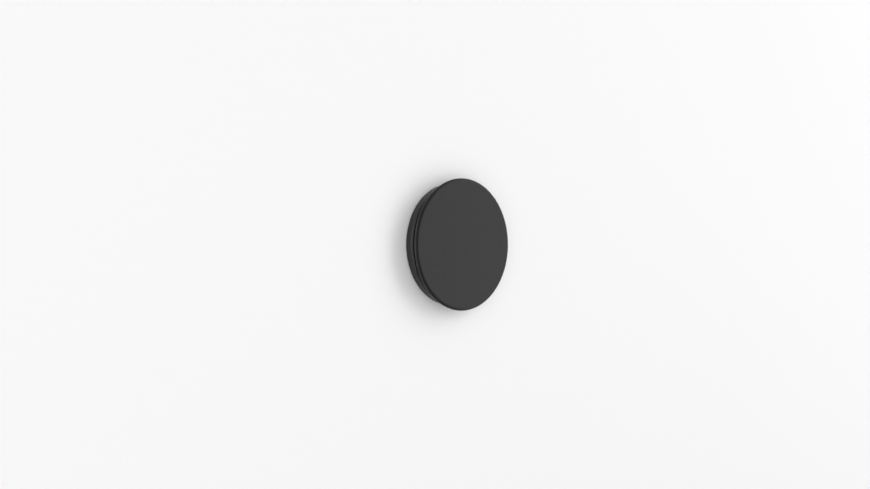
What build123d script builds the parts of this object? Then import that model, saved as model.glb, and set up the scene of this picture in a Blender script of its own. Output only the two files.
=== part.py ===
"""Collapsible phone grip: a flat cap on a soft folding accordion, on a stick-on base.

Millimetres, +Z up along the grip's axis, origin at the middle of the adhesive face.
Everything is drawn collapsed, with the accordion's walls nested inside one another.
"""

import os
from math import asin, cos, degrees, radians, sin

from build123d import *

# Adhesive pad
pad_thickness = 0.7
pad_edge = 0.15

# Base plate: a shallow dish that holds the pad below and the accordion's foot above
base_diameter = 36.5
base_height = 2.8
base_floor = 0.6
base_top_radius = 1.0
base_bottom_radius = 0.2
lip_radius = 0.2
groove_wall = 0.9
pad_border = 0.95
pad_recess = 0.3
pad_clearance = 0.1

# Accordion: upright walls joined to slanting walls that flip over, by thin webs
fold_rise = 3.88
hinge_web = 0.3
wall = 0.75
slot_narrow = 0.35
web_radius = 0.5 * hinge_web
slot_radius = 0.4 * slot_narrow
stages = 2
foot_reach = 0.6
foot_thickness = 0.7
seat_clearance = 0.05
lip_clearance = 0.1
fold_clearance = 0.06

# Lock hub, held by a bead inside the accordion's narrow end
hub_diameter = 18.5
hub_wall = 1.0
hub_plate = 1.0
bead_height = 1.2
bead_depth = 0.35
bond_clearance = 0.02

# Quarter-turn lock between the hub and the cap
boss_diameter = 7.0
lug_span = 12.8
lug_width = 4.0
lug_thickness = 1.0
turn_angle = 90
turn_clearance = 0.08
lug_clearance = 0.05
keyway_clearance = 0.25
stop_depth = 1.0
stop_margin = 4

# Keys on the base floor that hold the hub still while the collapsed cap is turned
key_width = 2.0
key_length = 0.8
key_height = 0.9
key_clearance = 0.15

# Cap, standing out past the base all round so that a fingertip finds its edge
cap_overhang = 1.63
cap_plate = 0.8
cap_edge_radius = 1.1
cap_edge_turn = 60
cap_edge_land = 0.35
cap_edge_undercut = 0.12
cap_corner_radius = 0.4 * cap_edge_land
cap_lower_radius = 0.5 * cap_edge_land
cap_skirt_inset = 1.3
cap_skirt_wall = 0.9
cap_skirt_depth = 0.8
cap_skirt_radius = 0.15
cap_root_radius = 0.2

# Levels, from the adhesive face up
rim_bottom = pad_thickness - pad_recess
floor_top = pad_thickness + base_floor
base_top = rim_bottom + base_height
foot_top = floor_top + foot_thickness
groove_top = foot_top + seat_clearance
fold_bottom = floor_top + fold_clearance
fold_top = fold_bottom + fold_rise + hinge_web
cap_underside = fold_top + fold_clearance
cap_top = cap_underside + cap_plate
cap_widest = cap_top - cap_edge_radius * (1 - cos(radians(cap_edge_turn)))
edge_bottom = cap_widest - cap_edge_land
skirt_bottom = cap_underside - cap_skirt_depth

# Radii, from the base inward to the hub
base_radius = base_diameter / 2
recess_radius = base_radius - pad_border
pad_radius = recess_radius - pad_clearance
groove_radius = base_radius - groove_wall
foot_radius = groove_radius - seat_clearance
bellows_radius = foot_radius - foot_reach
hub_radius = hub_diameter / 2
hub_bore = hub_radius - hub_wall
sleeve_bore = hub_radius + bond_clearance
sleeve_radius = sleeve_bore + wall
stage_pitch = (bellows_radius - sleeve_radius) / stages
slot_wide = stage_pitch - 2 * wall - slot_narrow
cap_radius = base_radius + cap_overhang
face_radius = cap_radius - cap_edge_radius * sin(radians(cap_edge_turn))
skirt_radius = cap_radius - cap_skirt_inset
skirt_bore = skirt_radius - cap_skirt_wall

# Pad: a gel disc
with BuildPart() as adhesive_pad:
    with BuildSketch():
        Circle(pad_radius)
    extrude(amount=pad_thickness)
    fillet(adhesive_pad.edges().sort_by(Axis.Z)[0], radius=pad_edge)

# Base plate: turned section with the pad recess, the foot groove and the retaining lip
with BuildPart() as base_plate:
    with BuildSketch(Plane.XZ):
        with BuildLine():
            Polyline(
                (0, pad_thickness),
                (recess_radius, pad_thickness),
                (recess_radius, rim_bottom),
                (base_radius, rim_bottom),
                (base_radius, base_top),
                (bellows_radius + lip_clearance, base_top),
                (bellows_radius + lip_clearance, groove_top),
                (groove_radius, groove_top),
                (groove_radius, floor_top),
                (0, floor_top),
                close=True,
            )
        make_face()
    revolve(axis=Axis.Z)
    outer_edges = base_plate.edges().filter_by(GeomType.CIRCLE).sort_by(SortBy.RADIUS)[-2:]
    fillet(outer_edges.sort_by(Axis.Z)[0], radius=base_bottom_radius)
    fillet(outer_edges.sort_by(Axis.Z)[-1], radius=base_top_radius)
    top_rings = base_plate.edges().filter_by_position(Axis.Z, base_top, base_top)
    fillet(top_rings.sort_by(SortBy.RADIUS)[0], radius=lip_radius)
    with BuildSketch(Plane.XY.offset(floor_top)):
        with PolarLocations(hub_radius - hub_wall / 2, 2):
            Rectangle(key_length, key_width)
    extrude(amount=key_height)

# Accordion: the upper outline runs inward over the folds, the lower one back out to the foot
upper = [(bellows_radius, foot_top)]
lower = []
for stage in range(stages):
    outer = bellows_radius - stage * stage_pitch
    upper += [
        (outer, fold_top),
        (outer - 2 * wall - slot_narrow, fold_top),
        (outer - 2 * wall - slot_wide, fold_bottom + hinge_web),
        (outer - stage_pitch, fold_bottom + hinge_web),
    ]
    lower += [
        (outer - wall, fold_bottom),
        (outer - wall, fold_top - hinge_web),
        (outer - wall - slot_narrow, fold_top - hinge_web),
        (outer - wall - slot_wide, fold_bottom),
    ]
bead_middle = (fold_bottom + fold_top - hub_plate) / 2
bead_top = bead_middle + bead_height / 2
bead_bottom = bead_middle - bead_height / 2
sleeve = [
    (sleeve_radius, fold_top),
    (sleeve_bore, fold_top),
    (sleeve_bore, bead_top),
    (sleeve_bore - bead_depth, bead_top),
    (sleeve_bore - bead_depth, bead_bottom),
    (sleeve_bore, bead_bottom),
    (sleeve_bore, fold_bottom),
]
foot = [
    (bellows_radius - wall, floor_top),
    (foot_radius, floor_top),
    (foot_radius, foot_top),
]
with BuildPart() as accordion:
    with BuildSketch(Plane.XZ):
        with BuildLine():
            Polyline(*upper, *sleeve, *reversed(lower), *foot, close=True)
        make_face()
    revolve(axis=Axis.Z)
    crests = accordion.edges().filter_by_position(Axis.Z, fold_top, fold_top)
    valleys = accordion.edges().filter_by_position(Axis.Z, fold_bottom, fold_bottom)
    fillet(crests + valleys, radius=web_radius)
    roofs = accordion.edges().filter_by_position(Axis.Z, fold_top - hinge_web, fold_top - hinge_web)
    floors = accordion.edges().filter_by_position(Axis.Z, fold_bottom + hinge_web, fold_bottom + hinge_web)
    fillet(roofs + floors, radius=slot_radius)

# Hub: a drum under a plate with a keyway, notched for the keys
with BuildPart() as lock_hub:
    with BuildSketch(Plane.XZ):
        with BuildLine():
            Polyline(
                (0, fold_top - hub_plate),
                (hub_bore, fold_top - hub_plate),
                (hub_bore, fold_bottom),
                (hub_radius, fold_bottom),
                (hub_radius, bead_bottom - bond_clearance),
                (hub_radius - bead_depth, bead_bottom - bond_clearance),
                (hub_radius - bead_depth, bead_top + bond_clearance),
                (hub_radius, bead_top + bond_clearance),
                (hub_radius, fold_top),
                (0, fold_top),
                close=True,
            )
        make_face()
    revolve(axis=Axis.Z)
    with BuildSketch(Plane.XY.offset(fold_top)):
        Circle(lug_span / 2 + keyway_clearance)
        Rectangle(
            lug_span + 2 * keyway_clearance,
            lug_width + 2 * keyway_clearance,
            rotation=turn_angle,
            mode=Mode.INTERSECT,
        )
        Circle(boss_diameter / 2 + turn_clearance)
    extrude(amount=-hub_plate, mode=Mode.SUBTRACT)
    stop_outer = lug_span / 2
    stop_inner = (stop_outer + boss_diameter / 2) / 2
    lug_half_angle = degrees(asin(lug_width / 2 / stop_inner))
    stop_start = turn_angle + lug_half_angle + stop_margin
    stop_size = 180 - turn_angle - 2 * (lug_half_angle + stop_margin)
    with BuildSketch(Plane.XY.offset(fold_top - hub_plate)):
        for turn in (0, 180):
            with BuildLine():
                near = CenterArc((0, 0), stop_inner, stop_start + turn, stop_size)
                far = CenterArc((0, 0), stop_outer, stop_start + turn, stop_size)
                Line(near @ 0, far @ 0)
                Line(near @ 1, far @ 1)
            make_face()
    extrude(amount=-stop_depth)
    with BuildSketch(Plane.XY.offset(fold_bottom)):
        with PolarLocations(hub_radius - hub_wall / 2, 2):
            Rectangle(2 * hub_wall, key_width + 2 * key_clearance)
    extrude(amount=key_height + key_clearance - fold_clearance, mode=Mode.SUBTRACT)

# Cap: turned disc with a rounded edge over a bevelled skirt, and the lock's post and lugs
with BuildPart() as top_cap:
    with BuildSketch(Plane.XZ):
        with BuildLine():
            edge = CenterArc(
                (face_radius, cap_top - cap_edge_radius),
                cap_edge_radius,
                90 - cap_edge_turn,
                cap_edge_turn,
            )
            Polyline(
                edge @ 0,
                (cap_radius - cap_edge_undercut, edge_bottom),
                (skirt_radius, skirt_bottom),
                (skirt_bore, skirt_bottom),
                (skirt_bore, cap_underside),
                (0, cap_underside),
                (0, cap_top),
                edge @ 1,
            )
        make_face()
    revolve(axis=Axis.Z)
    fillet(top_cap.edges().filter_by_position(Axis.Z, edge_bottom, edge_bottom), radius=cap_lower_radius)
    fillet(top_cap.edges().filter_by_position(Axis.Z, skirt_bottom, skirt_bottom), radius=cap_skirt_radius)
    fillet(top_cap.edges().filter_by_position(Axis.Z, cap_underside, cap_underside), radius=cap_root_radius)
    fillet(top_cap.edges().filter_by(GeomType.CIRCLE).sort_by(SortBy.RADIUS)[-1], radius=cap_corner_radius)
    lug_top = fold_top - hub_plate - lug_clearance
    with BuildSketch(Plane.XY.offset(cap_underside)):
        Circle(boss_diameter / 2)
    extrude(amount=lug_top - lug_thickness - cap_underside)
    with BuildSketch(Plane.XY.offset(lug_top)):
        Circle(lug_span / 2)
        Rectangle(lug_span, lug_width, mode=Mode.INTERSECT)
    extrude(amount=-lug_thickness)

os.makedirs("parts", exist_ok=True)
for name, piece in {
    "adhesive_pad": adhesive_pad,
    "base_plate": base_plate,
    "accordion": accordion,
    "lock_hub": lock_hub,
    "top_cap": top_cap,
}.items():
    piece.part.label = name
    export_step(piece.part, f"parts/{name}.step")
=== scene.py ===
"""Collapsible phone grip: the looks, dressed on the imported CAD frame.

Metres, +Z up along the grip's axis, with the adhesive face on the floor at z = 0.
The cap, the base plate and the lock hub keep their CAD shape and get a moulded finish.
The accordion and the gel pad are soft, so they are modelled here as meshes.
"""

import math

import bpy
from mathutils import Matrix, Vector


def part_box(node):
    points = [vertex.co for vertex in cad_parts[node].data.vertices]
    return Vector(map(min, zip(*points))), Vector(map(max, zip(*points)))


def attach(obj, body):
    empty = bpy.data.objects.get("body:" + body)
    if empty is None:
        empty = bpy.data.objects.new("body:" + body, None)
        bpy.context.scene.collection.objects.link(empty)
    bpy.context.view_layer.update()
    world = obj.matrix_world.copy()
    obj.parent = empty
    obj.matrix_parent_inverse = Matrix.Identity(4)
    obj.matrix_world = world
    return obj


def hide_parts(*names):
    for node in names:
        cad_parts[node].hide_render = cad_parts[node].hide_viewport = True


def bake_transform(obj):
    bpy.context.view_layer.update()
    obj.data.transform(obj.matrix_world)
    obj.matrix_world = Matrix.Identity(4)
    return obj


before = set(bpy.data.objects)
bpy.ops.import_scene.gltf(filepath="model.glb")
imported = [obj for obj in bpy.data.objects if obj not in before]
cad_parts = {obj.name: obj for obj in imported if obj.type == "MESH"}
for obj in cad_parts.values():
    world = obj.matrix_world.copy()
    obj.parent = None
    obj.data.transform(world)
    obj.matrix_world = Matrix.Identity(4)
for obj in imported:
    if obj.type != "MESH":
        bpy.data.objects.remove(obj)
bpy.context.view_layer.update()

MM = 0.001

# Photograph: its frame in pixels, and where the middle of the cap's face sits in it
FRAME_SIZE = (870, 489)
FACE_PIXEL = (464.1, 244.5)
FOCAL_PIXELS = 1498
FACE_DISTANCE = 449 * MM
LINE_OF_SIGHT = math.radians(44.45)
SENSOR_WIDTH = 36
NEAREST_SEEN = 10 * MM

# Turned pieces: how finely they are divided, and which corners stay crisp
TURN_STEPS = 192
ARC_STEPS = 5
WALL_STEPS = 6
CRISP_ANGLE = math.radians(38)

# Accordion: upright walls joined to slanting walls that flip over, by thin webs
STAGES = 2
WALL = 0.75 * MM
WEB = 0.3 * MM
SLOT_NARROW = 0.35 * MM
FOOT_REACH = 0.6 * MM
FOOT_THICKNESS = 0.7 * MM
CREST_RADIUS = 0.22 * MM
SLOT_RADIUS = 0.14 * MM
FOLD_STEP = 0.02 * MM

# Sleeve at the accordion's narrow end, with the bead that holds the hub
SLEEVE_GAP = 0.02 * MM
HUB_PLATE = 1.0 * MM
BEAD_HEIGHT = 1.2 * MM
BEAD_DEPTH = 0.35 * MM

# Gel pad: its rounded lower edge, its bulge and the rings under it
GEL_EDGE = 0.3 * MM
GEL_EDGE_END = 345
GEL_BULGE = 0.06 * MM
GEL_RINGS = 4

# Moulded skin: the noise of its grain and its drift, and the grain's share in the gloss
GRAIN_DETAIL = 3
GRAIN_ROUGHNESS = 0.6
DRIFT_DETAIL = 2
DRIFT_ROUGHNESS = 0.5
GRAIN_IN_GLOSS = 0.5

# Floor, a hair below the gel so that the two faces don't coincide
FLOOR_RADIUS = 2.0
FLOOR_STEPS = 128
FLOOR_DROP = 0.01 * MM
FLOOR_TONE = 0.92
FLOOR_ROUGHNESS = 0.9

# Light, in levels where white is 1
LAMP_DISTANCE = 0.8
HORIZON_LEVEL = 0.6
HORIZON_TOP = math.radians(1)
SURROUND_LEVEL = 0.27
SURROUND_START = math.radians(12)
OVERHEAD_LEVEL = 0.1
OVERHEAD_START = math.radians(50)


def link(obj):
    """Puts a new object in the scene."""
    bpy.context.scene.collection.objects.link(obj)
    return obj


def grey(level):
    """Neutral colour of one linear level."""
    return (level, level, level, 1)


def dress(obj, material):
    """Gives an object its one material."""
    obj.data.materials.clear()
    obj.data.materials.append(material)


def arc(centre, radius, start, end):
    """Points on a round stretch of a section, from one angle to the other in degrees."""
    points = []
    for step in range(ARC_STEPS + 1):
        angle = math.radians(start + (end - start) * step / ARC_STEPS)
        points.append((centre[0] + radius * math.cos(angle), centre[1] + radius * math.sin(angle)))
    return points


def along(start, end):
    """Points on a straight stretch of a section, without its two ends."""
    return [
        (
            start[0] + (end[0] - start[0]) * step / WALL_STEPS,
            start[1] + (end[1] - start[1]) * step / WALL_STEPS,
        )
        for step in range(1, WALL_STEPS)
    ]


def turned(name, section, closed):
    """Mesh turned about Z from a section of (radius, height) points.

    A closed section is a ring; an open one starts and ends on the axis.
    """
    vertices = []
    rows = []
    for radius, height in section:
        count = TURN_STEPS if radius > 0 else 1
        rows.append(range(len(vertices), len(vertices) + count))
        for step in range(count):
            angle = 2 * math.pi * step / TURN_STEPS
            vertices.append((radius * math.cos(angle), radius * math.sin(angle), height))
    faces = []
    last = len(rows) if closed else len(rows) - 1
    for index in range(last):
        here = rows[index]
        there = rows[(index + 1) % len(rows)]
        for step in range(TURN_STEPS):
            after = (step + 1) % TURN_STEPS
            if len(here) == 1:
                faces.append((here[0], there[after], there[step]))
            elif len(there) == 1:
                faces.append((here[step], here[after], there[0]))
            else:
                faces.append((here[step], here[after], there[after], there[step]))
    mesh = bpy.data.meshes.new(name)
    mesh.from_pydata(vertices, [], faces)
    mesh.validate()
    mesh.update()
    mesh.shade_smooth()
    return link(bpy.data.objects.new(name, mesh))


def keep_corners_crisp(obj):
    """Parts the faces at corners sharper than the crisp angle, in every pose."""
    modifier = obj.modifiers.new("crisp_corners", "EDGE_SPLIT")
    modifier.split_angle = CRISP_ANGLE


def accordion_section():
    """Section of the folded accordion, as points of radius, height and share of the cap's travel.

    An upright wall moves as a whole. A slanting wall turns inside out about its upper web,
    so a point on it travels further than that web, by twice its depth below it.
    """
    hub_low, hub_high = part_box("lock_hub")
    low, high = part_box("accordion")
    floor = low.z
    bottom = hub_low.z
    top = high.z
    foot_top = floor + FOOT_THICKNESS
    trough = bottom + WEB
    roof = top - WEB
    upper_pivot = top - WEB / 2
    rise = top - bottom - WEB
    foot = high.x
    outer_wall = foot - FOOT_REACH
    bore = hub_high.x + SLEEVE_GAP
    sleeve = bore + WALL
    pitch = (outer_wall - sleeve) / STAGES
    slot_wide = pitch - 2 * WALL - SLOT_NARROW

    def still(stage, *points):
        """Points on an upright wall or a web."""
        return [(radius, height, stage / STAGES) for radius, height in points]

    def flipping(stage, *points):
        """Points on the slanting wall of a stage."""
        return [
            (radius, height, (stage + (upper_pivot - height) / rise) / STAGES)
            for radius, height in points
        ]

    over = still(0, (foot, floor), (foot, foot_top), (outer_wall, foot_top))
    under = []
    for stage in range(STAGES):
        outer = outer_wall - stage * pitch
        shelf = outer - WALL - SLOT_NARROW
        shelf_end = shelf - WALL
        shoulder = outer - WALL - slot_wide
        shoulder_end = shoulder - WALL
        following = outer - pitch
        wall_foot = floor if stage == 0 else bottom

        # Upper side: over the upright wall's crest, then down the slanting wall's inner face
        crest = arc((outer - CREST_RADIUS, top - CREST_RADIUS), CREST_RADIUS, 0, 90)
        fold_in = arc((shelf_end + CREST_RADIUS, top - CREST_RADIUS), CREST_RADIUS, 90, 180)
        inner_face = along(fold_in[-1], (shoulder_end, trough))
        corner = arc((following + SLOT_RADIUS, trough + SLOT_RADIUS), SLOT_RADIUS, 270, 180)
        over += still(stage, *crest, (shelf, top))
        over += flipping(stage, (shelf - FOLD_STEP, top), *fold_in, *inner_face, (shoulder_end, trough))
        over += still(stage + 1, (shoulder_end - FOLD_STEP, trough), *corner)

        # Lower side: up inside the upright wall, then down the slanting wall's outer face
        inside = arc((outer - WALL - SLOT_RADIUS, roof - SLOT_RADIUS), SLOT_RADIUS, 0, 90)
        fold_out = arc((shoulder - CREST_RADIUS, bottom + CREST_RADIUS), CREST_RADIUS, 360, 270)
        outer_face = along((shelf, roof), fold_out[0])
        under += still(stage, (outer - WALL, wall_foot), *inside, (shelf + FOLD_STEP, roof))
        under += flipping(stage, (shelf, roof), *outer_face, *fold_out, (shoulder_end + FOLD_STEP, bottom))
        under += still(stage + 1, (shoulder_end, bottom))

    # Sleeve: over its rim, then down its bore past the bead
    rim = arc((sleeve - CREST_RADIUS, top - CREST_RADIUS), CREST_RADIUS, 0, 90)
    bead_middle = (bottom + top - HUB_PLATE) / 2
    bead_top = bead_middle + BEAD_HEIGHT / 2
    bead_bottom = bead_middle - BEAD_HEIGHT / 2
    bead_bore = bore - BEAD_DEPTH
    bead = [(bore, bead_top), (bead_bore, bead_top), (bead_bore, bead_bottom), (bore, bead_bottom)]
    over += still(STAGES, *rim, (bore, top), *bead, (bore, bottom))
    return over + under[::-1]


def make_accordion():
    """Soft accordion, turned from its folded section; the shares of the cap's travel are not used."""
    section = accordion_section()
    outline = [(radius, height) for radius, height, share in section]
    accordion = turned("accordion_bellows", outline, closed=True)
    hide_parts("accordion")
    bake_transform(accordion)
    keep_corners_crisp(accordion)
    return accordion


def make_gel_pad():
    """Adhesive gel disc with a soft, slightly bulging edge."""
    low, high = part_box("adhesive_pad")
    radius = high.x
    edge = radius - GEL_BULGE
    section = [(radius * ring / GEL_RINGS, low.z) for ring in range(GEL_RINGS)]
    section += arc((edge - GEL_EDGE, low.z + GEL_EDGE), GEL_EDGE, 270, GEL_EDGE_END)
    section += [(radius, (low.z + high.z) / 2), (edge, high.z), (0, high.z)]
    gel = turned("adhesive_gel", section, closed=False)
    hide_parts("adhesive_pad")
    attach(gel, "base")
    keep_corners_crisp(gel)
    return gel


def moulded_skin_group():
    """Fine eroded grain of a mould, with the slow drift in tone and gloss of a moulded face."""
    group = bpy.data.node_groups.new("moulded_skin", "ShaderNodeTree")
    inputs = (
        ("Grain Scale", "NodeSocketFloat"),
        ("Drift Scale", "NodeSocketFloat"),
        ("Dark Tone", "NodeSocketColor"),
        ("Light Tone", "NodeSocketColor"),
        ("Smoothest", "NodeSocketFloat"),
        ("Roughest", "NodeSocketFloat"),
    )
    outputs = (
        ("Colour", "NodeSocketColor"),
        ("Roughness", "NodeSocketFloat"),
        ("Grain", "NodeSocketFloat"),
    )
    for name, kind in inputs:
        group.interface.new_socket(name=name, in_out="INPUT", socket_type=kind)
    for name, kind in outputs:
        group.interface.new_socket(name=name, in_out="OUTPUT", socket_type=kind)
    nodes, links = group.nodes, group.links
    given = nodes.new("NodeGroupInput")
    result = nodes.new("NodeGroupOutput")
    place = nodes.new("ShaderNodeTexCoord")

    def noise(scale, detail, roughness):
        """Noise in the piece's own coordinates, at the scale that an input gives."""
        texture = nodes.new("ShaderNodeTexNoise")
        texture.inputs["Detail"].default_value = detail
        texture.inputs["Roughness"].default_value = roughness
        links.new(place.outputs["Object"], texture.inputs["Vector"])
        links.new(given.outputs[scale], texture.inputs["Scale"])
        return texture.outputs["Fac"]

    grain = noise("Grain Scale", GRAIN_DETAIL, GRAIN_ROUGHNESS)
    drift = noise("Drift Scale", DRIFT_DETAIL, DRIFT_ROUGHNESS)
    links.new(grain, result.inputs["Grain"])

    tone = nodes.new("ShaderNodeMix")
    tone.data_type = "RGBA"
    links.new(drift, tone.inputs["Factor"])
    links.new(given.outputs["Dark Tone"], tone.inputs["A"])
    links.new(given.outputs["Light Tone"], tone.inputs["B"])
    links.new(tone.outputs["Result"], result.inputs["Colour"])

    speckle = nodes.new("ShaderNodeMix")
    speckle.inputs["Factor"].default_value = GRAIN_IN_GLOSS
    links.new(drift, speckle.inputs["A"])
    links.new(grain, speckle.inputs["B"])
    gloss = nodes.new("ShaderNodeMix")
    links.new(speckle.outputs["Result"], gloss.inputs["Factor"])
    links.new(given.outputs["Smoothest"], gloss.inputs["A"])
    links.new(given.outputs["Roughest"], gloss.inputs["B"])
    links.new(gloss.outputs["Result"], result.inputs["Roughness"])
    return group


def moulded_material(name, skin, values, grain_depth):
    """Moulded material with its own values of the shared skin."""
    material = bpy.data.materials.new(name)
    material.use_nodes = True
    nodes, links = material.node_tree.nodes, material.node_tree.links
    shader = nodes["Principled BSDF"]
    face = nodes.new("ShaderNodeGroup")
    face.node_tree = skin
    for socket, value in values.items():
        face.inputs[socket].default_value = value
    bump = nodes.new("ShaderNodeBump")
    bump.inputs["Distance"].default_value = grain_depth
    links.new(face.outputs["Colour"], shader.inputs["Base Color"])
    links.new(face.outputs["Roughness"], shader.inputs["Roughness"])
    links.new(face.outputs["Grain"], bump.inputs["Height"])
    links.new(bump.outputs["Normal"], shader.inputs["Normal"])
    return material


def satin_black_plastic(skin):
    """Hard plastic of the cap, the base plate and the lock hub."""
    values = {
        "Grain Scale": 3600,
        "Drift Scale": 90,
        "Dark Tone": grey(0.008),
        "Light Tone": grey(0.011),
        "Smoothest": 0.33,
        "Roughest": 0.43,
    }
    return moulded_material("satin_black_plastic", skin, values, grain_depth=0.06 * MM)


def matt_black_elastomer(skin):
    """Soft elastomer of the accordion."""
    values = {
        "Grain Scale": 4500,
        "Drift Scale": 140,
        "Dark Tone": grey(0.014),
        "Light Tone": grey(0.02),
        "Smoothest": 0.5,
        "Roughest": 0.68,
    }
    return moulded_material("matt_black_elastomer", skin, values, grain_depth=0.03 * MM)


def tacky_grey_gel(skin):
    """Tacky gel of the adhesive pad."""
    values = {
        "Grain Scale": 900,
        "Drift Scale": 200,
        "Dark Tone": grey(0.02),
        "Light Tone": grey(0.03),
        "Smoothest": 0.12,
        "Roughest": 0.3,
    }
    return moulded_material("tacky_grey_gel", skin, values, grain_depth=0.02 * MM)


def make_floor():
    """Plain pale floor that the grip stands on."""
    mesh = bpy.data.meshes.new("floor")
    turns = [2 * math.pi * step / FLOOR_STEPS for step in range(FLOOR_STEPS)]
    edge = [(FLOOR_RADIUS * math.cos(turn), FLOOR_RADIUS * math.sin(turn), 0) for turn in turns]
    mesh.from_pydata(edge, [], [range(FLOOR_STEPS)])
    floor = link(bpy.data.objects.new("floor", mesh))
    floor.location.z = -FLOOR_DROP
    material = bpy.data.materials.new("pale_floor")
    material.use_nodes = True
    shader = material.node_tree.nodes["Principled BSDF"]
    shader.inputs["Base Color"].default_value = grey(FLOOR_TONE)
    shader.inputs["Roughness"].default_value = FLOOR_ROUGHNESS
    shader.inputs["Specular IOR Level"].default_value = 0
    dress(floor, material)


def make_surround():
    """Grey world round the grip, paler at the horizon and darker overhead."""
    world = bpy.data.worlds.new("studio")
    world.use_nodes = True
    bpy.context.scene.world = world
    nodes, links = world.node_tree.nodes, world.node_tree.links
    direction = nodes.new("ShaderNodeTexCoord")
    axes = nodes.new("ShaderNodeSeparateXYZ")
    shade = nodes.new("ShaderNodeValToRGB")
    links.new(direction.outputs["Generated"], axes.inputs["Vector"])
    links.new(axes.outputs["Z"], shade.inputs["Fac"])
    links.new(shade.outputs["Color"], nodes["Background"].inputs["Color"])
    horizon, surround = shade.color_ramp.elements
    horizon.position = math.sin(HORIZON_TOP)
    horizon.color = grey(HORIZON_LEVEL)
    surround.position = math.sin(SURROUND_START)
    surround.color = grey(SURROUND_LEVEL)
    overhead = shade.color_ramp.elements.new(math.sin(OVERHEAD_START))
    overhead.color = grey(OVERHEAD_LEVEL)


def make_softbox(name, azimuth, elevation, width, height, level, diffuse=True, glossy=True):
    """Soft rectangular lamp of an even brightness that faces the grip.

    With diffuse off it only shines in the surfaces, with glossy off it only lights them.
    """
    lamp = bpy.data.lights.new(name, "AREA")
    lamp.shape = "RECTANGLE"
    lamp.size = width
    lamp.size_y = height
    lamp.energy = level * math.pi * width * height
    softbox = link(bpy.data.objects.new(name, lamp))
    turn = math.radians(azimuth)
    rise = math.radians(elevation)
    towards = Vector(
        (math.cos(turn) * math.cos(rise), math.sin(turn) * math.cos(rise), math.sin(rise))
    )
    softbox.location = LAMP_DISTANCE * towards
    softbox.rotation_euler = towards.to_track_quat("Z", "Y").to_euler()
    softbox.visible_diffuse = diffuse
    softbox.visible_glossy = glossy


def make_lamps():
    """A softbox on either side to shine in the plastic, and soft lamps for the floor and its shadow."""
    make_softbox("far_softbox", azimuth=100, elevation=42, width=1.2, height=0.6, level=1.02)
    make_softbox("near_softbox", azimuth=270, elevation=17, width=1.1, height=0.45, level=2.0, diffuse=False)
    make_softbox("key_lamp", azimuth=125, elevation=42, width=0.7, height=0.7, level=0.71, glossy=False)
    make_softbox("fill_lamp", azimuth=270, elevation=50, width=0.7, height=0.7, level=1.75, glossy=False)
    make_softbox("top_lamp", azimuth=90, elevation=90, width=3, height=3, level=0.425, glossy=False)


def make_camera():
    """Camera at the photograph's angle, with the cap's face at its place in the frame."""
    right = Vector((0, math.cos(LINE_OF_SIGHT), math.sin(LINE_OF_SIGHT)))
    up = Vector((-1, 0, 0))
    back = Vector((0, -math.sin(LINE_OF_SIGHT), math.cos(LINE_OF_SIGHT)))
    face = Vector((0, 0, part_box("top_cap")[1].z))
    across = (FACE_PIXEL[0] - FRAME_SIZE[0] / 2) / FOCAL_PIXELS
    above = (FRAME_SIZE[1] / 2 - FACE_PIXEL[1]) / FOCAL_PIXELS
    place = face + FACE_DISTANCE * (back - across * right - above * up)
    data = bpy.data.cameras.new("camera")
    data.sensor_width = SENSOR_WIDTH
    data.lens = SENSOR_WIDTH * FOCAL_PIXELS / FRAME_SIZE[0]
    data.clip_start = NEAREST_SEEN
    camera = link(bpy.data.objects.new("camera", data))
    turn = Matrix((right, up, back)).transposed().to_4x4()
    camera.matrix_world = Matrix.Translation(place) @ turn
    bpy.context.scene.camera = camera


make_camera()
make_floor()
make_surround()
make_lamps()

skin = moulded_skin_group()
hard_plastic = satin_black_plastic(skin)
for node in ("top_cap", "base_plate", "lock_hub"):
    dress(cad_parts[node], hard_plastic)
dress(make_accordion(), matt_black_elastomer(skin))
dress(make_gel_pad(), tacky_grey_gel(skin))

bpy.context.scene.view_settings.view_transform = "Standard"
